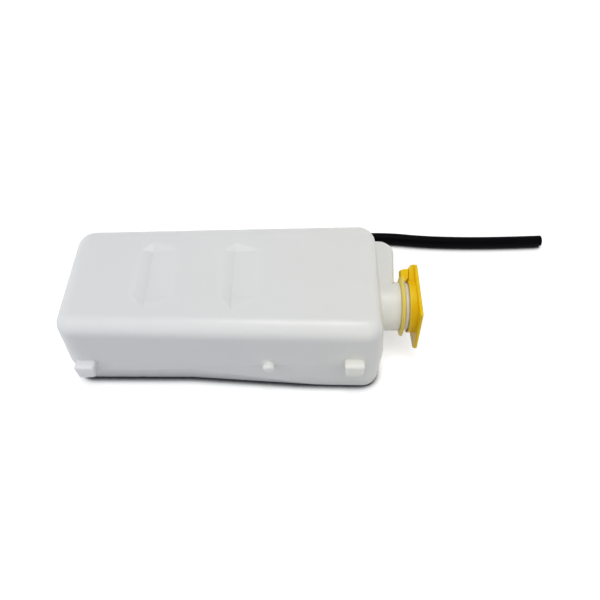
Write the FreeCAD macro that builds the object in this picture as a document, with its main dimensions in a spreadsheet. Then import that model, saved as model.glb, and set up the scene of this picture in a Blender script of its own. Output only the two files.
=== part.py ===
import FreeCAD, Part
import math
import os
import re
import Sketcher
from FreeCAD import Placement, Rotation, Vector

# A blow-moulded coolant recovery bottle lying on its side. +X runs from the base end to the filler neck,
# -Y is the side with the mounting lugs, +Z is up, and z = 0 is the surface that the bottle lies on.
# Sketches use the tank's own middle as zero; each finished piece is then moved to the shared origin,
# the middle of the part's underside. Lengths are millimetres and angles degrees.

SIZES = {
    # Tank form: widest at the parting line, with both mould halves tapering away from it
    "tank_length": 310.7,
    "front_at_base": 66,
    "front_at_neck": 72.5,
    "rear_at_base": 67.7,
    "rear_at_neck": 76.3,
    "tank_height": 97,
    "parting_height": 42.5,
    "parting_tilt": 2.2,
    "upper_draft": 3,
    "lower_draft": 5,
    "base_corner": 21.5,
    "neck_corner": 20,
    "ridge_radius": 16,
    "foot_radius": 6,
    "bevel_share": 0.75,
    "wall": 2.5,
    # Undercut of the lug side's lower half, which fades out towards the neck end
    "undercut_at_base": 56.6,
    "undercut_at_bend": 57,
    "undercut_at_neck": 68.5,
    "undercut_bend": 120.2,
    "undercut_end": 280.2,
    "undercut_draft": 17.5,
    "undercut_foot": 4,
    "undercut_foot_draft": 50,
    # Shoulder that carries the filler neck's form across to the rear wall
    "shoulder_rise": 19.1,
    "shoulder_slant": 6,
    "shoulder_half": 24.5,
    "shoulder_rear": 71.8,
    "shoulder_round": 16,
    "shoulder_edge": 6,
    # Two level marks, boat-shaped valleys measured from the base end to their creases
    "low_mark": 82.2,
    "full_mark": 164.3,
    "mark_depth": 3.2,
    "mark_lead": 10.5,
    "mark_ramp": 26,
    "mark_near": 26,
    "mark_far": 32,
    "mark_far_point": 11,
    "mark_near_point": 16,
    "crease_half": 0.6,
    # Filler neck: tether ring groove, snap bead and plain mouth
    "neck_height": 47,
    "neck_reach": 33.2,
    "neck_radius": 25,
    "neck_wall": 3.2,
    "groove_reach": 19.6,
    "groove_depth": 0.8,
    "bead_width": 3,
    # Square mounting lugs, narrower below, and the round locating peg between them, on its flat land
    "lug_width": 19.5,
    "lug_height": 17.5,
    "lug_reach": 9,
    "lug_root": 26,
    "lug_taper": 1.5,
    "lug_round": 3,
    "lug_bevel": 1.6,
    "base_lug": 22,
    "neck_lug": 281.4,
    "lug_lift": 1.1,
    "peg_place": 199.1,
    "peg_radius": 5.7,
    "peg_reach": 7,
    "peg_lift": 2.3,
    "peg_bevel": 1.8,
    "land_radius": 7.6,
    "land_reach": 0.45,
    # Tether ring with its strap block
    "cap_clock": 51.5,
    "ring_width": 4,
    "ring_flange": 6,
    "ring_edge": 1,
    "cap_clearance": 0.3,
    "strap_width": 15,
    "strap_web": 0.7,
    "strap_inner": 2.7,
    "strap_outer": 38,
    "strap_round": 3,
    # Snap lid, hinged on the strap block's outer corner
    "hinge_setback": 4,
    "hinge_gap": 0.6,
    "knuckle_slope": 4,
    "lid_thickness": 3.2,
    "lid_hinge_edge": 42.6,
    "lid_side": 42.5,
    "lid_drop": 8,
    "lid_side_round": 4,
    "lid_tab": 43,
    "lid_tab_width": 9,
    "lid_round": 3,
    "lid_edge": 0.8,
    "skirt_depth": 6.9,
    "skirt_thickness": 1.8,
    "seal_thickness": 1.4,
    # Outlet near the base end: boss, grommet and barbed elbow
    "outlet_place": 43.7,
    "outlet_height": 24,
    "boss_radius": 14,
    "boss_height": 3,
    "outlet_hole": 8.5,
    "grommet_flange": 11,
    "grommet_inner_flange": 9.75,
    "grommet_lip": 2.2,
    "elbow_radius": 4.6,
    "elbow_bore": 2.8,
    "elbow_corner": 5.4,
    "elbow_dome": 4.4,
    "elbow_standoff": 13.6,
    "elbow_tail": 6,
    "elbow_leg": 42,
    "elbow_collar": 8.5,
    "barb_height": 0.5,
    "barb_length": 5,
    "barb_count": 3,
    # Overflow hose and its spring clamp
    "hose_radius": 6.35,
    "hose_bore": 4,
    "hose_grip": 24,
    "hose_lead": 48,
    "hose_lift": 0.05,
    "clamp_width": 8,
    "clamp_thickness": 1,
    "clamp_ear": 6,
    "clamp_gap": 5,
    # Middle of the part's underside, in the tank's own frame
    "origin_x": 19.1,
    "origin_y": 6.11,
}

doc = FreeCAD.newDocument("coolant_reservoir")
sheet = doc.addObject("Spreadsheet::Sheet", "Sizes")
for row, (alias, figure) in enumerate(SIZES.items(), start=1):
    sheet.set(f"A{row}", alias)
    sheet.set(f"B{row}", str(figure))
    sheet.setAlias(f"B{row}", alias)
doc.recompute()


def bound(formula):
    """The formula as an expression, with each size's name pointing at its cell."""
    return re.sub(r"[a-z_]+", lambda word: f"Sizes.{word[0]}" if word[0] in SIZES else word[0], str(formula))


def number(formula):
    return float(sheet.evalExpression(bound(formula)))


def new_body(name):
    return doc.addObject("PartDesign::Body", name)


def sketch_on(body, plane, name, offset=(0, 0, 0)):
    """A sketch parallel to one of the body's origin planes, shifted along the sketch's own axes."""
    sketch = body.newObject("Sketcher::SketchObject", name)
    sketch.AttachmentSupport = [(next(f for f in body.Origin.OriginFeatures if f.Role == plane), "")]
    sketch.MapMode = "FlatFace"
    for axis, formula in zip("xyz", offset):
        sketch.setExpression(f"AttachmentOffset.Base.{axis}", bound(formula))
    return sketch


def dimension(sketch, kind, formula, *where):
    index = sketch.addConstraint(Sketcher.Constraint(kind, *where, number(formula)))
    sketch.setExpression(f"Constraints[{index}]", bound(formula))


def outline(sketch, corners):
    """Closed counter-clockwise outline. Each corner is (x, y), or (x, y, radius) where it is rounded."""
    count = len(corners)
    points = [Vector(number(corner[0]), number(corner[1]), 0) for corner in corners]
    radii = [number(corner[2]) if len(corner) > 2 else 0 for corner in corners]
    line_starts, line_ends, centres = [], [], []
    for i, point in enumerate(points):
        back = (points[i - 1] - point).normalize()
        ahead = (points[(i + 1) % count] - point).normalize()
        half_angle = back.getAngle(ahead) / 2
        line_ends.append(point + back * (radii[i] / math.tan(half_angle)))
        line_starts.append(point + ahead * (radii[i] / math.tan(half_angle)))
        centres.append(point + (back + ahead).normalize() * (radii[i] / math.sin(half_angle)))
    first = sketch.GeometryCount
    for i in range(count):
        sketch.addGeometry(Part.LineSegment(line_starts[i], line_ends[(i + 1) % count]))
    for i, point in enumerate(points):
        before, after = first + (i - 1) % count, first + i
        if radii[i]:
            middle = centres[i] + (point - centres[i]).normalize() * radii[i]
            turns_left = (point - points[i - 1]).cross(points[(i + 1) % count] - point).z > 0
            ends = (line_ends[i], line_starts[i]) if turns_left else (line_starts[i], line_ends[i])
            arc = sketch.addGeometry(Part.Arc(ends[0], middle, ends[1]))
            apex = sketch.addGeometry(Part.Point(point), True)
            sketch.addConstraint([
                Sketcher.Constraint("Tangent", before, 2, arc, 1 if turns_left else 2),
                Sketcher.Constraint("Tangent", after, 1, arc, 2 if turns_left else 1),
                Sketcher.Constraint("PointOnObject", apex, 1, before),
                Sketcher.Constraint("PointOnObject", apex, 1, after),
            ])
            dimension(sketch, "Radius", corners[i][2], arc)
        else:
            apex = after
            sketch.addConstraint(Sketcher.Constraint("Coincident", before, 2, after, 1))
        dimension(sketch, "DistanceX", corners[i][0], -1, 1, apex, 1)
        dimension(sketch, "DistanceY", corners[i][1], -1, 1, apex, 1)


def circle(sketch, x, y, radius):
    ring = sketch.addGeometry(Part.Circle(Vector(number(x), number(y), 0), Vector(0, 0, 1), number(radius)))
    dimension(sketch, "DistanceX", x, -1, 1, ring, 3)
    dimension(sketch, "DistanceY", y, -1, 1, ring, 3)
    dimension(sketch, "Radius", radius, ring)


def extrude(body, sketch, name, length, kind="Pad", side="One side", reverse=False):
    feature = body.newObject(f"PartDesign::{kind}", name)
    feature.Profile = sketch
    feature.SideType = side
    feature.Reversed = reverse
    feature.setExpression("Length", bound(length))
    return feature


def revolve(body, sketch, name, axis="H_Axis"):
    feature = body.newObject("PartDesign::Revolution", name)
    feature.Profile = sketch
    feature.ReferenceAxis = (sketch, [axis])
    feature.Angle = 360
    return feature


def soften(body, name, kind, size, wanted):
    """Fillets or chamfers the edges of the body so far whose bounding box is wanted."""
    doc.recompute()
    base = body.Tip
    edges = [f"Edge{i}" for i, edge in enumerate(base.Shape.Edges, 1) if wanted(edge.BoundBox)]
    feature = body.newObject(f"PartDesign::{kind}", name)
    feature.Base = (base, edges)
    feature.setExpression("Radius" if kind == "Fillet" else "Size", bound(size))


def settle(piece, label, offset=("0", "0", "0")):
    """Names a finished piece and moves it from the tank's frame to the shared origin."""
    piece.Label = label
    for axis, formula, origin in zip("xyz", offset, ("origin_x", "origin_y", "0")):
        piece.setExpression(f"Placement.Base.{axis}", bound(f"{formula} - {origin}"))
    return piece


TOUCH = 0.01
TRIM = "tank_length * tan(parting_tilt)"
HALF_LENGTH = "tank_length / 2"
SPAN = "4 * rear_at_neck"
RIM = "(tank_length / 2 + neck_reach)"


def roll(body, name, radius, inset, wanted):
    """Rolls the tank's outer edges; the cavity's are plain bevels that keep inside that roll."""
    if inset == "0":
        soften(body, name, "Fillet", radius, wanted)
    else:
        soften(body, name, "Chamfer", f"bevel_share * ({radius} - {inset})", wanted)


def wall_y(side, x):
    """Distance of the front or rear wall from the neck's plane, on the parting line at x along the tank."""
    taper = f"({side}_at_neck - {side}_at_base) / tank_length"
    return f"(({side}_at_base + {side}_at_neck) / 2 + {taper} * ({x}))"


def tank_blank(name, inset):
    """Both mould halves, tapering from the tilted parting plane, cut level and with rolled edges."""
    body = new_body(name)
    parting = sketch_on(body, "XY_Plane", name + "_parting", (0, 0, "parting_height"))
    parting.AttachmentOffset = Placement(Vector(0, 0, 0), Rotation(Vector(0, -1, 0), 1))
    parting.setExpression("AttachmentOffset.Rotation.Angle", bound("parting_tilt"))
    end_x = f"({HALF_LENGTH} - {inset})"
    outline(parting, [
        (f"-{end_x}", f"{inset} - {wall_y('front', '-' + end_x)}", f"base_corner - {inset}"),
        (end_x, f"{inset} - {wall_y('front', end_x)}", f"neck_corner - {inset}"),
        (end_x, f"{wall_y('rear', end_x)} - {inset}", f"neck_corner - {inset}"),
        (f"-{end_x}", f"{wall_y('rear', '-' + end_x)} - {inset}", f"base_corner - {inset}"),
    ])
    for half, height, draft in (("upper", "tank_height - parting_height", "upper_draft"),
                                ("lower", "parting_height", "lower_draft")):
        tapered = extrude(body, parting, f"{name}_{half}", f"{height} + {TRIM}", reverse=half == "lower")
        tapered.setExpression("TaperAngle", bound(f"-{draft}"))
    for level, low, high in (("top", f"tank_height - {inset}", f"tank_height + 2 * {TRIM}"),
                             ("floor", f"-2 * {TRIM}", inset)):
        slab = sketch_on(body, "XZ_Plane", f"{name}_{level}_trim")
        outline(slab, [
            ("-tank_length", low),
            ("tank_length", low),
            ("tank_length", high),
            ("-tank_length", high),
        ])
        extrude(body, slab, f"{name}_{level}", SPAN, "Pocket", "Symmetric")
    top_z, floor_z = number(f"tank_height - {inset}"), number(inset)
    roll(body, name + "_ridge", "ridge_radius", inset, lambda box: box.ZMin > top_z - TOUCH)
    roll(body, name + "_foot", "foot_radius", inset, lambda box: box.ZMax < floor_z + TOUCH)
    return body


def undercut(body, name, inset):
    """Cuts the lug side's lower half back to a steeper draft, then turns its lower edge in as a foot."""
    slope = "(undercut_at_neck - undercut_at_bend) / (undercut_end - undercut_bend)"
    bend_x = f"(undercut_bend - {HALF_LENGTH})"
    end_x = f"({HALF_LENGTH} + lug_root)"
    for step, setback, draft, height in (
            ("undercut", "0", "undercut_draft", "parting_height"),
            ("undercut_foot", "undercut_foot", "undercut_foot_draft", "2 * undercut_foot")):
        plan = sketch_on(body, "XY_Plane", f"{name}_{step}_plan")
        shift = f"({inset} / cos({draft}) - {inset} * tan({draft}) + {setback})"
        outline(plan, [
            (f"-{end_x}", "-front_at_neck - 2 * lug_root"),
            (end_x, "-front_at_neck - 2 * lug_root"),
            (end_x, f"{shift} - undercut_at_bend - {slope} * ({end_x} - {bend_x})"),
            (bend_x, f"{shift} - undercut_at_bend"),
            (f"-{end_x}", f"{shift} - undercut_at_base"),
        ])
        cut = extrude(body, plan, f"{name}_{step}", height, "Pocket", reverse=True)
        cut.setExpression("TaperAngle", bound(f"-{draft}"))


def shoulder(body, name, inset):
    """Block beside the neck, as tall as the neck and running back to the rear wall, with rolled edges."""
    low_z = f"(neck_height - shoulder_half + {inset})"
    high_z = f"(neck_height + shoulder_half - {inset})"
    plan = sketch_on(body, "XY_Plane", name + "_shoulder_plan", (0, 0, low_z))
    face_x = f"({HALF_LENGTH} + shoulder_rise - {inset})"
    root_x = f"({HALF_LENGTH} - shoulder_rise)"
    rear_y = f"(shoulder_rear - {inset})"
    outline(plan, [
        (root_x, 0),
        (f"{face_x} - shoulder_slant", 0),
        (face_x, rear_y, f"shoulder_round - {inset}"),
        (root_x, rear_y),
    ])
    extrude(body, plan, name + "_shoulder", f"{high_z} - {low_z}")
    levels = (number(low_z), number(high_z))
    wall_x = number(HALF_LENGTH)

    def rim(box):
        level = any(abs(box.ZMin - z) < TOUCH and abs(box.ZMax - z) < TOUCH for z in levels)
        return level and box.XMax > wall_x and box.YMax > TOUCH

    roll(body, name + "_shoulder_edge", "shoulder_edge", inset, rim)


def level_mark(body, name, mark, inset):
    """Valley that falls to a crease across the tank and rises to a point at both ends."""
    crease_x = f"({mark} - {HALF_LENGTH})"
    face_z = f"(tank_height - {inset})"
    rim = sketch_on(body, "XY_Plane", f"{name}_{mark}_rim", (0, 0, face_z))
    crease = sketch_on(body, "XY_Plane", f"{name}_{mark}_crease", (0, 0, f"{face_z} - mark_depth"))
    rim_reach = [f"({reach} + {inset})" for reach in ("mark_lead", "mark_ramp", "mark_near_point", "mark_far_point")]
    for sketch, (lead, ramp, near_point, far_point) in ((rim, rim_reach), (crease, ["crease_half"] * 4)):
        outline(sketch, [
            (crease_x, f"-mark_near - {near_point}"),
            (f"{crease_x} + {ramp}", "-mark_near"),
            (f"{crease_x} + {ramp}", "mark_far"),
            (crease_x, f"mark_far + {far_point}"),
            (f"{crease_x} - {lead}", "mark_far"),
            (f"{crease_x} - {lead}", "-mark_near"),
        ])
    valley = body.newObject("PartDesign::SubtractiveLoft", f"{name}_{mark}")
    valley.Profile = rim
    valley.Sections = [crease]
    valley.Ruled = True


def tank_form(name, inset):
    """The bottle without its neck and lugs, with every wall set in by inset."""
    body = tank_blank(name, inset)
    undercut(body, name, inset)
    shoulder(body, name, inset)
    level_mark(body, name, "low_mark", inset)
    level_mark(body, name, "full_mark", inset)

    boss = sketch_on(body, "XZ_Plane", name + "_boss_profile", (0, 0, f"{inset} - {BOSS_FACE}"))
    circle(boss, OUTLET_X, "outlet_height", f"boss_radius - {inset}")
    extrude(body, boss, name + "_boss", "2 * boss_radius")
    return body


OUTLET_X = f"(outlet_place - {HALF_LENGTH})"
BOSS_FACE = f"({wall_y('rear', OUTLET_X)} + boss_height)"


def parting_z(x):
    return f"(parting_height + ({x}) * tan(parting_tilt))"


def in_front_plane(distance):
    """Picks the edges that lie at that distance in front of the neck's plane."""
    place = -number(distance)
    return lambda box: abs(box.YMin - place) < TOUCH and abs(box.YMax - place) < TOUCH


def tank_outside():
    body = tank_form("tank_outside", "0")
    neck = sketch_on(body, "XZ_Plane", "neck_profile", (0, "neck_height", 0))
    root_x = f"({HALF_LENGTH} - neck_reach)"
    groove_x = f"({HALF_LENGTH} + groove_reach)"
    groove_end = f"({groove_x} + ring_width + 2 * cap_clearance)"
    outline(neck, [
        (root_x, 0),
        (RIM, 0),
        (RIM, "neck_radius - groove_depth"),
        (f"{groove_end} + bead_width", "neck_radius - groove_depth"),
        (f"{groove_end} + bead_width", "neck_radius"),
        (groove_end, "neck_radius"),
        (groove_end, "neck_radius - groove_depth"),
        (groove_x, "neck_radius - groove_depth"),
        (groove_x, "neck_radius"),
        (root_x, "neck_radius"),
    ])
    revolve(body, neck, "neck")
    for name, place in (("base_lug", f"(base_lug - {HALF_LENGTH})"), ("neck_lug", f"(neck_lug - {HALF_LENGTH})")):
        face_y = f"({wall_y('front', place)} + lug_reach)"
        lug = sketch_on(body, "XZ_Plane", name + "_face", (0, 0, face_y))
        middle_z = f"({parting_z(place)} + lug_lift)"
        outline(lug, [
            (f"{place} - lug_width / 2 + lug_taper", f"{middle_z} - lug_height / 2", "lug_round"),
            (f"{place} + lug_width / 2 - lug_taper", f"{middle_z} - lug_height / 2", "lug_round"),
            (f"{place} + lug_width / 2", f"{middle_z} + lug_height / 2", "lug_round"),
            (f"{place} - lug_width / 2", f"{middle_z} + lug_height / 2", "lug_round"),
        ])
        extrude(body, lug, name, "lug_reach + lug_root", reverse=True)
        soften(body, name + "_bevel", "Chamfer", "lug_bevel", in_front_plane(face_y))
    peg_x = f"(peg_place - {HALF_LENGTH})"
    for name, radius, reach in (("peg_land", "land_radius", "land_reach"), ("peg", "peg_radius", "peg_reach")):
        face_y = f"({wall_y('front', peg_x)} + {reach})"
        face = sketch_on(body, "XZ_Plane", name + "_face", (0, 0, face_y))
        circle(face, peg_x, f"{parting_z(peg_x)} + peg_lift", radius)
        extrude(body, face, name, f"{reach} + 2 * wall", reverse=True)
    soften(body, "peg_end", "Chamfer", "peg_bevel", in_front_plane(face_y))
    return body


def tank_inside():
    body = tank_form("tank_inside", "wall")
    bore = sketch_on(body, "XZ_Plane", "neck_bore_profile", (0, "neck_height", 0))
    outline(bore, [
        (f"{HALF_LENGTH} - neck_reach", 0),
        (f"{RIM} + wall", 0),
        (f"{RIM} + wall", "neck_radius - groove_depth - neck_wall"),
        (f"{HALF_LENGTH} - neck_reach", "neck_radius - groove_depth - neck_wall"),
    ])
    revolve(body, bore, "neck_bore")
    hole = sketch_on(body, "XZ_Plane", "outlet_hole_profile", (0, 0, f"-{BOSS_FACE} - wall"))
    circle(hole, OUTLET_X, "outlet_height", "outlet_hole")
    extrude(body, hole, "outlet_hole", "3 * wall")
    return body


def tank_body():
    shell = doc.addObject("Part::Cut", "tank_shell")
    shell.Base = tank_outside()
    shell.Tool = tank_inside()
    return settle(shell, "tank_body")


CAP_OFFSET = ("0", "0", "neck_height")
RING_X = f"({HALF_LENGTH} + groove_reach + cap_clearance)"
PLATE_X = f"({RIM} + cap_clearance + seal_thickness)"
SKIRT_X = f"({PLATE_X} - skirt_depth)"
HINGE_X = f"({RIM} - hinge_setback)"
STRAP_WEB = "(neck_radius + strap_web)"
STRAP_INNER = "(neck_radius + strap_inner)"


def settle_cap(body, label):
    """Cap pieces are drawn with the strap straight up, then clocked about the neck."""
    body.Placement = Placement(Vector(0, 0, 0), Rotation(Vector(-1, 0, 0), 1))
    body.setExpression("Placement.Rotation.Angle", bound("cap_clock"))
    return settle(body, label, CAP_OFFSET)


def cap_tether_ring():
    body = new_body("tether_ring")
    inner = "(neck_radius - groove_depth + cap_clearance)"
    middle_x = f"({RING_X} + ring_width / 2)"
    profile = sketch_on(body, "XZ_Plane", "ring_profile")
    outline(profile, [
        (RING_X, inner),
        (f"{RING_X} + ring_width", inner),
        (f"{middle_x} + ring_edge / 2", f"{inner} + ring_flange"),
        (f"{middle_x} - ring_edge / 2", f"{inner} + ring_flange"),
    ])
    revolve(body, profile, "ring")
    side = sketch_on(body, "XZ_Plane", "strap_side")
    back_x = f"({middle_x} - ring_edge / 2)"
    outline(side, [
        (back_x, f"{inner} + ring_flange / 2"),
        (f"{middle_x} + ring_edge / 2", f"{inner} + ring_flange / 2"),
        (f"{middle_x} + ring_edge / 2", STRAP_WEB),
        (f"{SKIRT_X} - 2 * cap_clearance", STRAP_WEB),
        (f"{SKIRT_X} - 2 * cap_clearance", STRAP_INNER),
        (f"{HINGE_X} - hinge_gap / 2", STRAP_INNER),
        (f"{HINGE_X} - hinge_gap / 2", "strap_outer"),
        (back_x, "strap_outer", "strap_round"),
    ])
    extrude(body, side, "strap", "strap_width", side="Symmetric")
    return settle_cap(body, "cap_tether_ring")


def cap_lid():
    body = new_body("lid")
    plan = sketch_on(body, "YZ_Plane", "plate_plan", (0, 0, PLATE_X))
    outline(plan, [
        ("lid_side", "-lid_drop", "lid_side_round"),
        ("strap_width / 2", "lid_hinge_edge", "lid_round"),
        ("-strap_width / 2", "lid_hinge_edge", "lid_round"),
        ("-lid_side", "-lid_drop", "lid_side_round"),
        ("-lid_tab_width / 2", "-lid_tab", "lid_round"),
        ("lid_tab_width / 2", "-lid_tab", "lid_round"),
    ])
    extrude(body, plan, "plate", "lid_thickness")
    soften(body, "plate_edge", "Chamfer", "lid_edge", lambda box: box.XLength < TOUCH)
    rings = sketch_on(body, "YZ_Plane", "skirt_plan", (0, 0, PLATE_X))
    skirt_inner = "(neck_radius + cap_clearance)"
    circle(rings, 0, 0, skirt_inner)
    circle(rings, 0, 0, f"{skirt_inner} + skirt_thickness")
    extrude(body, rings, "skirt", "skirt_depth", reverse=True)
    side = sketch_on(body, "XZ_Plane", "knuckle_side")
    outline(side, [
        (f"{HINGE_X} + hinge_gap / 2", f"{skirt_inner} + skirt_thickness / 3"),
        (f"{PLATE_X} + lid_edge", f"{skirt_inner} + skirt_thickness / 3"),
        (f"{PLATE_X} + lid_edge", "lid_hinge_edge"),
        (f"{HINGE_X} + knuckle_slope", "lid_hinge_edge"),
        (f"{HINGE_X} + hinge_gap / 2", "strap_outer"),
    ])
    extrude(body, side, "knuckle", "strap_width - 2 * lid_edge", side="Symmetric")
    return settle_cap(body, "cap_lid")


def cap_seal():
    body = new_body("seal")
    plan = sketch_on(body, "YZ_Plane", "seal_plan", (0, 0, PLATE_X))
    circle(plan, 0, 0, "neck_radius - cap_clearance")
    extrude(body, plan, "seal_disc", "seal_thickness", reverse=True)
    return settle_cap(body, "cap_seal")


STEM_END = f"({BOSS_FACE} - wall - grommet_lip - elbow_tail)"
LEG_Y = f"({BOSS_FACE} + grommet_lip + elbow_standoff)"
LEG_END = f"({OUTLET_X} + elbow_leg)"


def outlet_grommet():
    body = new_body("grommet")
    half = sketch_on(body, "XY_Plane", "grommet_profile", (OUTLET_X, 0, "outlet_height"))
    inner_y = f"({BOSS_FACE} - wall)"
    outline(half, [
        ("elbow_radius", f"{inner_y} - grommet_lip"),
        ("grommet_inner_flange", f"{inner_y} - grommet_lip"),
        ("grommet_inner_flange", inner_y),
        ("outlet_hole", inner_y),
        ("outlet_hole", BOSS_FACE),
        ("grommet_flange", BOSS_FACE),
        ("grommet_flange", f"{BOSS_FACE} + grommet_lip"),
        ("elbow_radius", f"{BOSS_FACE} + grommet_lip"),
    ])
    revolve(body, half, "grommet_turned", "V_Axis")
    return settle(body, "outlet_grommet")


def outlet_elbow():
    """Stem with a collar and a domed corner, and a barbed leg, cored by two straight passages."""
    body = new_body("elbow")
    stem = sketch_on(body, "XY_Plane", "stem_profile", (OUTLET_X, 0, "outlet_height"))
    collar_y = f"({BOSS_FACE} + grommet_lip)"
    outline(stem, [
        (0, STEM_END),
        ("elbow_radius", STEM_END),
        ("elbow_radius", collar_y),
        ("elbow_collar", collar_y),
        ("elbow_collar", f"{collar_y} + grommet_lip"),
        ("elbow_corner", f"{collar_y} + grommet_lip"),
        ("elbow_corner", f"{LEG_Y} + elbow_corner", "elbow_dome"),
        (0, f"{LEG_Y} + elbow_corner"),
    ])
    revolve(body, stem, "stem", "V_Axis")
    leg = sketch_on(body, "XY_Plane", "leg_profile", (0, LEG_Y, "outlet_height"))
    start_x = f"({LEG_END} - barb_count * barb_length)"
    steps = [(OUTLET_X, 0), (LEG_END, 0)]
    for tooth in reversed(range(round(number("barb_count")))):
        root_x = f"({start_x} + {tooth} * barb_length)"
        steps += [(f"{root_x} + barb_length", "hose_bore"), (root_x, "hose_bore + barb_height")]
    steps += [(start_x, "hose_bore"), (OUTLET_X, "hose_bore")]
    outline(leg, steps)
    revolve(body, leg, "leg")
    stem_core = sketch_on(body, "XZ_Plane", "stem_core", (0, 0, f"-{STEM_END}"))
    circle(stem_core, OUTLET_X, "outlet_height", "elbow_bore")
    extrude(body, stem_core, "stem_passage", f"{LEG_Y} - {STEM_END}", "Pocket")
    leg_core = sketch_on(body, "YZ_Plane", "leg_core", (0, 0, LEG_END))
    circle(leg_core, LEG_Y, "outlet_height", "elbow_bore")
    extrude(body, leg_core, "leg_passage", "elbow_leg", "Pocket")
    return settle(body, "outlet_elbow")


def hose_clamp():
    body = new_body("clamp")
    middle_x = f"({LEG_END} - hose_grip / 2)"
    axis = (LEG_Y, "outlet_height", f"{middle_x} - clamp_width / 2")
    band = sketch_on(body, "YZ_Plane", "band_section", axis)
    circle(band, 0, 0, "hose_radius")
    circle(band, 0, 0, "hose_radius + clamp_thickness")
    extrude(body, band, "band", "clamp_width")
    for name, sign in (("near_ear", "-1"), ("far_ear", "1")):
        ear = sketch_on(body, "YZ_Plane", name + "_section", axis)
        inner = f"({sign} * clamp_gap / 2)"
        outer = f"({sign} * (clamp_gap / 2 + clamp_thickness))"
        left, right = (outer, inner) if sign == "-1" else (inner, outer)
        outline(ear, [
            (left, "hose_radius"),
            (right, "hose_radius"),
            (right, "hose_radius + clamp_thickness + clamp_ear"),
            (left, "hose_radius + clamp_thickness + clamp_ear"),
        ])
        extrude(body, ear, name, "clamp_width")
    gap = sketch_on(body, "YZ_Plane", "gap_section", axis)
    outline(gap, [
        ("-clamp_gap / 2", 0),
        ("clamp_gap / 2", 0),
        ("clamp_gap / 2", "2 * hose_radius"),
        ("-clamp_gap / 2", "2 * hose_radius"),
    ])
    extrude(body, gap, "gap", "clamp_width", "Pocket", reverse=True)
    return settle(body, "hose_clamp")


def hose_route():
    """Route of the hose: straight off the barb, down to the surface, then in loose bends along it."""
    start = Vector(number(f"{LEG_END} - hose_grip"), number(LEG_Y), number("outlet_height"))
    rest = number("hose_radius + hose_lift")
    return [
        start,
        start + Vector(number("hose_lead"), 0, 0),
        Vector(39, 102, rest),
        Vector(142, 142, rest),
        Vector(258, 126, rest),
        Vector(364, 132, rest),
    ]


def rounded_path(points):
    """Straight runs joined by tangent arcs, each arc taking 0.45 of its shorter run."""
    edges, start = [], points[0]
    for before, corner, after in zip(points, points[1:], points[2:]):
        back, ahead = before - corner, after - corner
        reach = 0.45 * min(back.Length, ahead.Length)
        half_turn = (math.pi - back.getAngle(ahead)) / 2
        radius = reach / math.tan(half_turn)
        back.normalize()
        ahead.normalize()
        inward = (back + ahead).normalize()
        middle = corner + inward * (radius / math.cos(half_turn) - radius)
        edges.append(Part.LineSegment(start, corner + back * reach).toShape())
        edges.append(Part.Arc(corner + back * reach, middle, corner + ahead * reach).toShape())
        start = corner + ahead * reach
        print(f"hose bend radius {radius:.0f} mm")
    edges.append(Part.LineSegment(start, points[-1]).toShape())
    return Part.Wire(edges)


def overflow_hose():
    points = hose_route()
    path = rounded_path(points)
    lead = points[1] - points[0]
    tubes = []
    for radius in (number("hose_radius"), number("hose_bore")):
        ring = Part.Wire(Part.makeCircle(radius, points[0], lead))
        tubes.append(path.makePipeShell([ring], True, False))
    hose = doc.addObject("Part::Feature", "hose")
    hose.Shape = tubes[0].cut(tubes[1])
    section = math.pi * (number("hose_radius") ** 2 - number("hose_bore") ** 2)
    print(f"hose length {path.Length:.0f} mm, volume share {hose.Shape.Volume / (section * path.Length):.4f}")
    return settle(hose, "overflow_hose")


pieces = [
    tank_body(),
    cap_tether_ring(),
    cap_lid(),
    cap_seal(),
    outlet_grommet(),
    outlet_elbow(),
    hose_clamp(),
    overflow_hose(),
]
doc.recompute()

for item in doc.Objects:
    if {"Invalid", "Error"} & set(item.State):
        raise RuntimeError(f"{item.Label} failed: {item.State}")
for piece in pieces:
    if piece.Shape.isNull() or not piece.Shape.isValid():
        raise RuntimeError(f"{piece.Label} has no valid shape")

os.makedirs("parts", exist_ok=True)
for piece in pieces:
    piece.Shape.exportStep(f"parts/{piece.Label}.step")
    box = piece.Shape.BoundBox
    print(f"{piece.Label}: {len(piece.Shape.Solids)} solid, {piece.Shape.Volume / 1000:.1f} cm3,"
          f" x {box.XMin:.1f} to {box.XMax:.1f}, y {box.YMin:.1f} to {box.YMax:.1f},"
          f" z {box.ZMin:.1f} to {box.ZMax:.1f}")
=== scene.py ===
"""Looks of a milky moulded coolant bottle with a yellow snap cap and a black overflow hose.

Lengths are in metres and angles in degrees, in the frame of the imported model.
"""

import math

import bpy
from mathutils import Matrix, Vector


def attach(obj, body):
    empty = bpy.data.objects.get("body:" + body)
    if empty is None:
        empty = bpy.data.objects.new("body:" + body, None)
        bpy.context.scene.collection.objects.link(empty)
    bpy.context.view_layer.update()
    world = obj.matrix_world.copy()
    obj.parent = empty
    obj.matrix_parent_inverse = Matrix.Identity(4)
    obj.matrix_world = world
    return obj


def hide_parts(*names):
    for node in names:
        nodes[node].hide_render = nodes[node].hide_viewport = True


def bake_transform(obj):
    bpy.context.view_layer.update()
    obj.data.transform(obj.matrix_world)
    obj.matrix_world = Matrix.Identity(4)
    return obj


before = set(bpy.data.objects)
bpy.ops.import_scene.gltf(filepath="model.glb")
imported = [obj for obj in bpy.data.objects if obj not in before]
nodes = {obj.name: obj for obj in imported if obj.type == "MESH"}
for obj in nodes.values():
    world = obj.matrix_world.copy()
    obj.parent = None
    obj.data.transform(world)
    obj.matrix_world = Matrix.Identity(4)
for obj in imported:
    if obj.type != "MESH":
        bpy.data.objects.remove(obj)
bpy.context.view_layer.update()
scene = bpy.context.scene

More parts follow.
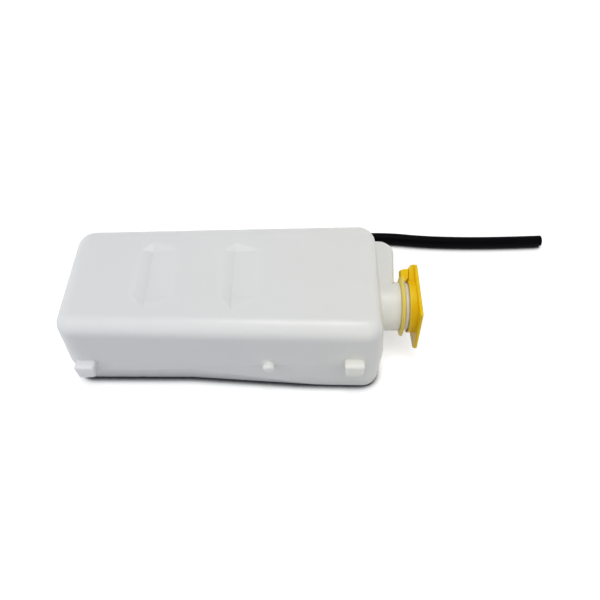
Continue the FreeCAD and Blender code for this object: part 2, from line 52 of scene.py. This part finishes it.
# The hose has the size and the route of its CAD solid.
HOSE_DIAMETER = 0.0127
HOSE_BORE = 0.008
HOSE_ROUTE = [
    (-0.11275, 0.0816, 0.024),
    (-0.06475, 0.0816, 0.024),
    (0.0199, 0.09589, 0.0064),
    (0.1229, 0.13589, 0.0064),
    (0.2389, 0.11989, 0.0064),
    (0.3449, 0.12589, 0.0064),
]
HOSE_ORDER = 3
HOSE_STEPS = 24
HOSE_ROUNDNESS = 8
MOUTH_DEPTH = 0.03
MOUTH_EDGE = 0.0003
MOUTH_SIDES = 32

# The filler neck's axis runs along x at this y and z.
NECK_AXIS = (-0.00611, 0.047)

# The film of the living hinge lies on the lid's joint, along its axis, and faces away from the neck.
HINGE_PLACE = (0.16545, 0.023628, 0.070656)
HINGE_ALONG = (0, -0.6225, 0.7826)
HINGE_OUT = (0, 0.7826, 0.6225)
FILM_WIDTH = 0.0146
FILM_HALF_SPAN = 0.0004
FILM_DEPTH = 0.0007
FILM_PROUD = 0.00006
FILM_COLUMNS = 6

# The photograph's view.
CAMERA_PLACE = (0.05495, -0.40706, 0.5623)
CAMERA_TILT = 38.45
CAMERA_LENS = 38.06
CAMERA_SENSOR = 36.0

# Colours are ramps of (place, colour) stops, and roughness is a span from low to high.
# The tank's upper stops are painted light: yellower and lighter for the cap's reflected light toward the
# neck.
TANK_COLOURS = [
    (0.0, (0.800, 0.800, 0.808)),
    (0.55, (0.825, 0.827, 0.800)),
    (0.8, (0.850, 0.845, 0.785)),
    (1.0, (0.935, 0.905, 0.775)),
]
TANK_ROUGHNESS = (0.30, 0.38)
TANK_EDGE = 0.0016
TANK_WAVE_HEIGHT = 0.0008
TANK_SKIN_HEIGHT = 0.0002

# The tank's colour carries painted light along x between these two places: a yellow reflection of the cap's
# light that also lightens toward the neck. Its clouds add the rest of the drift.
PAINTED_CAP_LIGHT_SPAN = (-0.12, 0.16)
PAINTED_CAP_LIGHT_SHARE = 0.8
CLOUD_SHARE = 0.2

CAP_COLOURS = [(0.3, (0.86, 0.55, 0.002)), (0.7, (0.92, 0.62, 0.004))]
CAP_ROUGHNESS = (0.29, 0.40)
CAP_EDGE = 0.0007

# The ring's paler colour is painted light, for light through the thin ring; it fades out over these
# distances from the neck's axis, and over these x on the strap.
RING_PAINTED_LIGHT_COLOURS = [(0.3, (0.96, 0.75, 0.13)), (0.7, (0.99, 0.80, 0.17))]
RING_PAINTED_LIGHT_RADIUS = (0.0300, 0.0315)
RING_PAINTED_LIGHT_END = (0.1609, 0.1613)

STEEL_COLOURS = [(0.3, (0.42, 0.42, 0.43)), (0.7, (0.58, 0.58, 0.59))]
STEEL_ROUGHNESS = (0.30, 0.44)

# Black mouldings: colours, roughness, specular level.
SEAL_BLACK = ([(0.3, (0.010, 0.010, 0.010)), (0.75, (0.024, 0.024, 0.024))], (0.54, 0.68), 0.15)
GROMMET_BLACK = ([(0.3, (0.012, 0.012, 0.012)), (0.75, (0.028, 0.028, 0.028))], (0.56, 0.70), 0.15)
ELBOW_BLACK = ([(0.3, (0.018, 0.018, 0.020)), (0.75, (0.034, 0.034, 0.037))], (0.36, 0.50), 0.25)
HOSE_BLACK = ([(0.3, (0.0006, 0.0006, 0.0012)), (0.75, (0.0022, 0.0022, 0.0032))], (0.30, 0.44), 0.03)

GRAIN_HEIGHT = 0.0001
EDGE_SAMPLES = 6

# Lamps: name, place, side, watts, colour, and whether glossy surfaces mirror it.
LAMPS = [
    ("overhead", (0.05, 0.04, 1.3), 0.5, 4.6, (1.0, 0.985, 0.955), True),
    ("front", (0.0, -1.8, 0.6), 1.2, 2.8, (1.0, 0.99, 0.98), False),
    ("left", (-1.4, -0.6, 0.7), 0.9, 5.5, (1.0, 1.0, 1.0), False),
    ("right", (1.2, -0.9, 0.7), 0.9, 3.2, (1.0, 1.0, 1.0), False),
]
LAMP_TARGET = (0, 0, 0.05)
SKY_COLOUR = (0.94, 0.97, 1.0, 1.0)
SKY_STRENGTH = 0.53
WHITE = (1.0, 1.0, 1.0, 1.0)

# The floor glows for the camera, throws little light back up, and carries a painted contact shadow close to
# what stands on it.
FLOOR_HALF = 6.0
FLOOR_COLOUR = (0.9, 0.9, 0.9)
FLOOR_BOUNCE = (0.29, 0.30, 0.34)
FLOOR_GLOW = 0.45
CONTACT_REACH = 0.010
CONTACT_SAMPLES = 12
# Painted contact shadow: the colour and occlusion ramp that darken the floor near what stands on it.
PAINTED_CONTACT_SHADOW_COLOUR = (0.06, 0.06, 0.07, 1.0)
PAINTED_CONTACT_SHADOW_STOPS = [(0.48, (0.0,) * 3), (0.62, (0.55,) * 3), (0.78, (0.88,) * 3), (1.0, (1.0,) * 3)]


class Nodes:
    """A node tree under construction, with short ways to add and join its nodes."""

    def __init__(self, tree):
        self.tree = tree
        self.tree.nodes.clear()

    def feed(self, socket, value):
        """Joins another node's output to an input, or sets the input to a constant."""
        if isinstance(value, bpy.types.NodeSocket):
            self.tree.links.new(value, socket)
        else:
            socket.default_value = value

    def add(self, kind, settings=None, **inputs):
        """A new node. The inputs' names have _ in place of a space."""
        node = self.tree.nodes.new(kind)
        for key, value in (settings or {}).items():
            setattr(node, key, value)
        for key, value in inputs.items():
            self.feed(node.inputs[key.replace("_", " ")], value)
        return node

    def combine(self, operation, first, second):
        """The result of a maths operation on two values."""
        node = self.add("ShaderNodeMath", {"operation": operation})
        self.feed(node.inputs[0], first)
        self.feed(node.inputs[1], second)
        return node.outputs["Value"]

    def mix(self, factor, first, second):
        """A mix of two shaders, all first at a factor of 0 and all second at 1."""
        node = self.add("ShaderNodeMixShader", Fac=factor)
        self.feed(node.inputs[1], first)
        self.feed(node.inputs[2], second)
        return node.outputs["Shader"]

    def seen(self, rays):
        """1 for a ray that comes from the camera, a mirror or glass, and 0 for other light."""
        either = rays.outputs["Is Camera Ray"]
        for other in ("Is Glossy Ray", "Is Transmission Ray"):
            either = self.combine("MAXIMUM", either, rays.outputs[other])
        return either


class Paint(Nodes):
    """A material under construction around one principled shader."""

    def __init__(self, name, **inputs):
        self.material = bpy.data.materials.new(name)
        self.material.use_nodes = True
        super().__init__(self.material.node_tree)
        self.shader = self.add("ShaderNodeBsdfPrincipled", **inputs)
        self.output = self.add("ShaderNodeOutputMaterial", Surface=self.shader.outputs["BSDF"])

    def drive(self, name, source):
        """Lets a node's output set one of the shader's inputs."""
        self.feed(self.shader.inputs[name], source)

    def position(self, stretch=(1, 1, 1), shift=(0, 0, 0)):
        """The piece's own coordinates, stretched and then shifted per axis."""
        place = self.add("ShaderNodeTexCoord").outputs["Object"]
        mapping = self.add("ShaderNodeMapping", Vector=place, Scale=stretch, Location=shift)
        return mapping.outputs["Vector"]

    def along(self):
        """The piece's own x coordinate."""
        return self.add("ShaderNodeSeparateXYZ", Vector=self.position()).outputs["X"]

    def noise(self, scale, detail=2.0, roughness=0.5, stretch=(1, 1, 1)):
        place = self.position(stretch)
        texture = self.add("ShaderNodeTexNoise", Vector=place, Scale=scale, Detail=detail,
                           Roughness=roughness)
        return texture.outputs["Fac"]

    def ramp(self, factor, stops):
        """A colour ramp of (place, colour) stops."""
        node = self.add("ShaderNodeValToRGB", Fac=factor)
        points = node.color_ramp.elements
        while len(points) < len(stops):
            points.new(1.0)
        for point, (place, colour) in zip(points, stops):
            point.position = place
            point.color = (*colour, 1.0)
        return node.outputs["Color"]

    def spread(self, factor, low, high, start=0.3, end=0.7):
        """Maps a range of the factor, by default a noise's middle range, to a span of values."""
        node = self.add("ShaderNodeMapRange", Value=factor, From_Min=start, From_Max=end,
                        To_Min=low, To_Max=high)
        return node.outputs["Result"]

    def soft_edges(self, radius):
        """Normals that round the piece's sharp edges."""
        return self.add("ShaderNodeBevel", {"samples": EDGE_SAMPLES}, Radius=radius).outputs["Normal"]

    def bump(self, height, strength, distance, normal=None):
        """Normals that follow a height, on top of other normals where they are given."""
        node = self.add("ShaderNodeBump", Height=height, Strength=strength, Distance=distance)
        if normal is not None:
            self.feed(node.inputs["Normal"], normal)
        return node.outputs["Normal"]


def tank_plastic():
    """Natural polyethylene: milky, clouded where the wall varies, with painted light toward the neck (a
    yellow reflection of the cap, lighter near the neck), satin mould skin.
    """
    paint = Paint("tank_plastic", IOR=1.54, Subsurface_Weight=0.7, Subsurface_Scale=0.008,
                  Subsurface_Radius=(1.0, 1.0, 0.95))
    cloud = paint.noise(scale=9.0, detail=3.0)
    wave = paint.noise(scale=45.0)
    skin = paint.noise(scale=900.0, detail=3.0)
    # Painted light along x: a yellow reflection of the cap, lighter toward the neck.
    painted_cap_light = paint.spread(paint.along(), 0.0, PAINTED_CAP_LIGHT_SHARE, *PAINTED_CAP_LIGHT_SPAN)
    drift = paint.combine("ADD", painted_cap_light, paint.spread(cloud, 0.0, CLOUD_SHARE))
    paint.drive("Base Color", paint.ramp(drift, TANK_COLOURS))
    paint.drive("Roughness", paint.spread(wave, *TANK_ROUGHNESS))
    waved = paint.bump(wave, strength=0.12, distance=TANK_WAVE_HEIGHT, normal=paint.soft_edges(TANK_EDGE))
    paint.drive("Normal", paint.bump(skin, strength=0.06, distance=TANK_SKIN_HEIGHT, normal=waved))
    return paint.material


def cap_plastic(name, painted_ring_light=False):
    """Yellow moulded polypropylene with faint flow marks and a soft gloss, with painted light on the ring at
    the neck: a paler colour for light through the thin ring.
    """
    paint = Paint(name, IOR=1.49, Specular_IOR_Level=0.2, Subsurface_Weight=0.12, Subsurface_Scale=0.002,
                  Subsurface_Radius=(1.0, 0.6, 0.1))
    flow = paint.noise(scale=60.0, detail=3.0, stretch=(3, 1, 1))
    skin = paint.noise(scale=1400.0)
    colour = paint.ramp(flow, CAP_COLOURS)
    # Painted light: a paler colour on the ring at the neck, for light through the thin ring.
    if painted_ring_light:
        axis_y, axis_z = NECK_AXIS
        spoke = paint.position(stretch=(0, 1, 1), shift=(0, -axis_y, -axis_z))
        radius = paint.add("ShaderNodeVectorMath", {"operation": "LENGTH"}, Vector=spoke).outputs["Value"]
        near_neck = paint.spread(radius, 1.0, 0.0, *RING_PAINTED_LIGHT_RADIUS)
        off_strap = paint.spread(paint.along(), 1.0, 0.0, *RING_PAINTED_LIGHT_END)
        share = paint.combine("MULTIPLY", near_neck, off_strap)
        ring_painted_light = paint.ramp(flow, RING_PAINTED_LIGHT_COLOURS)
        colour = paint.add("ShaderNodeMixRGB", Fac=share, Color1=colour, Color2=ring_painted_light).outputs["Color"]
    paint.drive("Base Color", colour)
    paint.drive("Roughness", paint.spread(flow, *CAP_ROUGHNESS))
    edges = paint.soft_edges(CAP_EDGE)
    paint.drive("Normal", paint.bump(skin, strength=0.05, distance=GRAIN_HEIGHT, normal=edges))
    return paint.material


def black_moulding(name, colours, roughness, gloss):
    """Black rubber or nylon with a bloom of paler patches and a fine matt grain."""
    paint = Paint(name, IOR=1.5, Specular_IOR_Level=gloss)
    bloom = paint.noise(scale=40.0, detail=4.0, roughness=0.6)
    grain = paint.noise(scale=2200.0)
    paint.drive("Base Color", paint.ramp(bloom, colours))
    paint.drive("Roughness", paint.spread(bloom, *roughness))
    paint.drive("Normal", paint.bump(grain, strength=0.15, distance=GRAIN_HEIGHT))
    return paint.material


def spring_steel():
    """Spring band with a fine grain and darker tempered patches."""
    paint = Paint("clamp_steel", Metallic=1.0)
    temper = paint.noise(scale=120.0, detail=3.0)
    grain = paint.noise(scale=400.0, stretch=(8, 1, 1))
    paint.drive("Base Color", paint.ramp(temper, STEEL_COLOURS))
    paint.drive("Roughness", paint.spread(grain, *STEEL_ROUGHNESS))
    paint.drive("Normal", paint.bump(grain, strength=0.1, distance=GRAIN_HEIGHT))
    return paint.material


def dress(node, material):
    """Gives a CAD node its material."""
    mesh = nodes[node].data
    mesh.materials.clear()
    mesh.materials.append(material)


def new_piece(name, points, faces, material):
    mesh = bpy.data.meshes.new(name)
    mesh.from_pydata([tuple(point) for point in points], [], faces)
    mesh.materials.append(material)
    piece = bpy.data.objects.new(name, mesh)
    scene.collection.objects.link(piece)
    return piece


def hose_mouth(name, end, inner, material):
    """The cut face of the hose at one end and the wall of its bore."""
    end = Vector(end)
    inward = (Vector(inner) - end).normalized()
    up = Vector((0, 0, 1))
    across = inward.cross(up)
    profile = [
        (0.0, HOSE_DIAMETER / 2),
        (0.0, HOSE_BORE / 2 + MOUTH_EDGE),
        (MOUTH_EDGE, HOSE_BORE / 2),
        (MOUTH_DEPTH, HOSE_BORE / 2),
    ]
    points = []
    for depth, radius in profile:
        for step in range(MOUTH_SIDES):
            turn = 2 * math.pi * step / MOUTH_SIDES
            spoke = across * math.cos(turn) + up * math.sin(turn)
            points.append(end + inward * depth + spoke * radius)
    faces = []
    for row in range(len(profile) - 1):
        near = row * MOUTH_SIDES
        far = near + MOUTH_SIDES
        for step in range(MOUTH_SIDES):
            after = (step + 1) % MOUTH_SIDES
            faces.append((near + step, far + step, far + after, near + after))
    mouth = new_piece(name, points, faces, material)
    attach(mouth, "tank")
    return mouth


def overflow_hose(material):
    """The hose as one smooth tube along its route, hollow at both ends."""
    curve = bpy.data.curves.new("overflow_hose_line", "CURVE")
    curve.dimensions = "3D"
    line = curve.splines.new("NURBS")
    line.points.add(len(HOSE_ROUTE) - 1)
    for point, place in zip(line.points, HOSE_ROUTE):
        point.co = (*place, 1.0)
    line.order_u = HOSE_ORDER
    line.use_endpoint_u = True
    line.resolution_u = HOSE_STEPS
    curve.bevel_depth = HOSE_DIAMETER / 2
    curve.bevel_resolution = HOSE_ROUNDNESS
    curve.materials.append(material)
    hose = bpy.data.objects.new("overflow_hose_tube", curve)
    scene.collection.objects.link(hose)
    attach(hose, "tank")
    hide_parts("overflow_hose")
    ends = [
        hose_mouth("overflow_hose_root", HOSE_ROUTE[0], HOSE_ROUTE[1], material),
        hose_mouth("overflow_hose_mouth", HOSE_ROUTE[-1], HOSE_ROUTE[-2], material),
    ]


def hinge_film(material):
    """The thin web of the living hinge between the strap and the lid."""
    place = Vector(HINGE_PLACE)
    half_width = Vector(HINGE_ALONG) * (FILM_WIDTH / 2)
    outer = Vector(HINGE_OUT) * FILM_PROUD
    inner = Vector(HINGE_OUT) * (FILM_PROUD - FILM_DEPTH)
    section = [outer - half_width, outer + half_width, inner + half_width, inner - half_width]
    corners = len(section)
    points = []
    for column in range(FILM_COLUMNS + 1):
        shift = Vector((FILM_HALF_SPAN * (2 * column / FILM_COLUMNS - 1), 0, 0))
        points.extend(place + shift + corner for corner in section)
    last = corners * FILM_COLUMNS
    faces = [tuple(range(corners)), tuple(last + corner for corner in reversed(range(corners)))]
    for near in range(0, last, corners):
        far = near + corners
        for corner in range(corners):
            after = (corner + 1) % corners
            faces.append((near + corner, far + corner, far + after, near + after))
    film = new_piece("cap_hinge_film", points, faces, material)
    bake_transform(film)


def floor_white():
    """White floor for the camera that still takes the object's shadow, adds a painted contact shadow close
    to it, and throws little light back up.
    """
    paint = Paint("floor_white", Roughness=0.9, Specular_IOR_Level=0.0)
    rays = paint.add("ShaderNodeLightPath")
    thrown = paint.ramp(rays.outputs["Is Diffuse Ray"], [(0.0, FLOOR_COLOUR), (1.0, FLOOR_BOUNCE)])
    paint.drive("Base Color", thrown)
    # Painted shadow: an occlusion ramp darkens the floor and its glow close to what stands on it.
    contact = paint.add("ShaderNodeAmbientOcclusion", {"samples": CONTACT_SAMPLES}, Distance=CONTACT_REACH)
    clear = paint.ramp(contact.outputs["AO"], PAINTED_CONTACT_SHADOW_STOPS)
    painted_shadow = paint.add("ShaderNodeBsdfDiffuse", Color=PAINTED_CONTACT_SHADOW_COLOUR)
    ground = paint.mix(clear, painted_shadow.outputs["BSDF"], paint.shader.outputs["BSDF"])
    lift = paint.combine("MULTIPLY", paint.seen(rays), FLOOR_GLOW)
    glow = paint.add("ShaderNodeEmission", Color=clear, Strength=lift)
    both = paint.add("ShaderNodeAddShader")
    paint.feed(both.inputs[0], ground)
    paint.feed(both.inputs[1], glow.outputs["Emission"])
    paint.feed(paint.output.inputs["Surface"], both.outputs["Shader"])
    return paint.material


def studio_floor():
    corners = [(FLOOR_HALF * x, FLOOR_HALF * y, 0) for x, y in ((-1, -1), (1, -1), (1, 1), (-1, 1))]
    floor = new_piece("floor", corners, [(0, 1, 2, 3)], floor_white())


def studio_sky():
    """Soft light from all sides, which the camera, mirrors and glass see as white."""
    world = bpy.data.worlds.new("studio")
    scene.world = world
    world.use_nodes = True
    sky = Nodes(world.node_tree)
    soft = sky.add("ShaderNodeBackground", Color=SKY_COLOUR, Strength=SKY_STRENGTH)
    white = sky.add("ShaderNodeBackground", Color=WHITE)
    seen = sky.seen(sky.add("ShaderNodeLightPath"))
    choice = sky.mix(seen, soft.outputs["Background"], white.outputs["Background"])
    sky.add("ShaderNodeOutputWorld", Surface=choice)


def studio_lamps():
    for name, place, side, watts, colour, mirrored in LAMPS:
        lamp = bpy.data.lights.new(name, "AREA")
        lamp.size = side
        lamp.energy = watts
        lamp.color = colour
        light = bpy.data.objects.new(name, lamp)
        light.location = place
        aim = Vector(LAMP_TARGET) - Vector(place)
        light.rotation_euler = aim.to_track_quat("-Z", "Y").to_euler()
        light.visible_glossy = mirrored
        scene.collection.objects.link(light)


def photograph_camera():
    lens = bpy.data.cameras.new("camera")
    lens.lens = CAMERA_LENS
    lens.sensor_width = CAMERA_SENSOR
    camera = bpy.data.objects.new("camera", lens)
    camera.location = CAMERA_PLACE
    camera.rotation_euler = (math.radians(CAMERA_TILT), 0, 0)
    scene.collection.objects.link(camera)
    scene.camera = camera


scene.view_settings.view_transform = "Standard"
yellow = cap_plastic("cap_plastic")
dress("tank_body", tank_plastic())
dress("cap_tether_ring", cap_plastic("ring_plastic_painted_light", painted_ring_light=True))
dress("cap_lid", yellow)
dress("cap_seal", black_moulding("seal_rubber", *SEAL_BLACK))
dress("outlet_grommet", black_moulding("grommet_rubber", *GROMMET_BLACK))
dress("outlet_elbow", black_moulding("elbow_plastic", *ELBOW_BLACK))
dress("hose_clamp", spring_steel())
overflow_hose(black_moulding("hose_rubber", *HOSE_BLACK))
hinge_film(yellow)
studio_floor()
studio_sky()
studio_lamps()
photograph_camera()
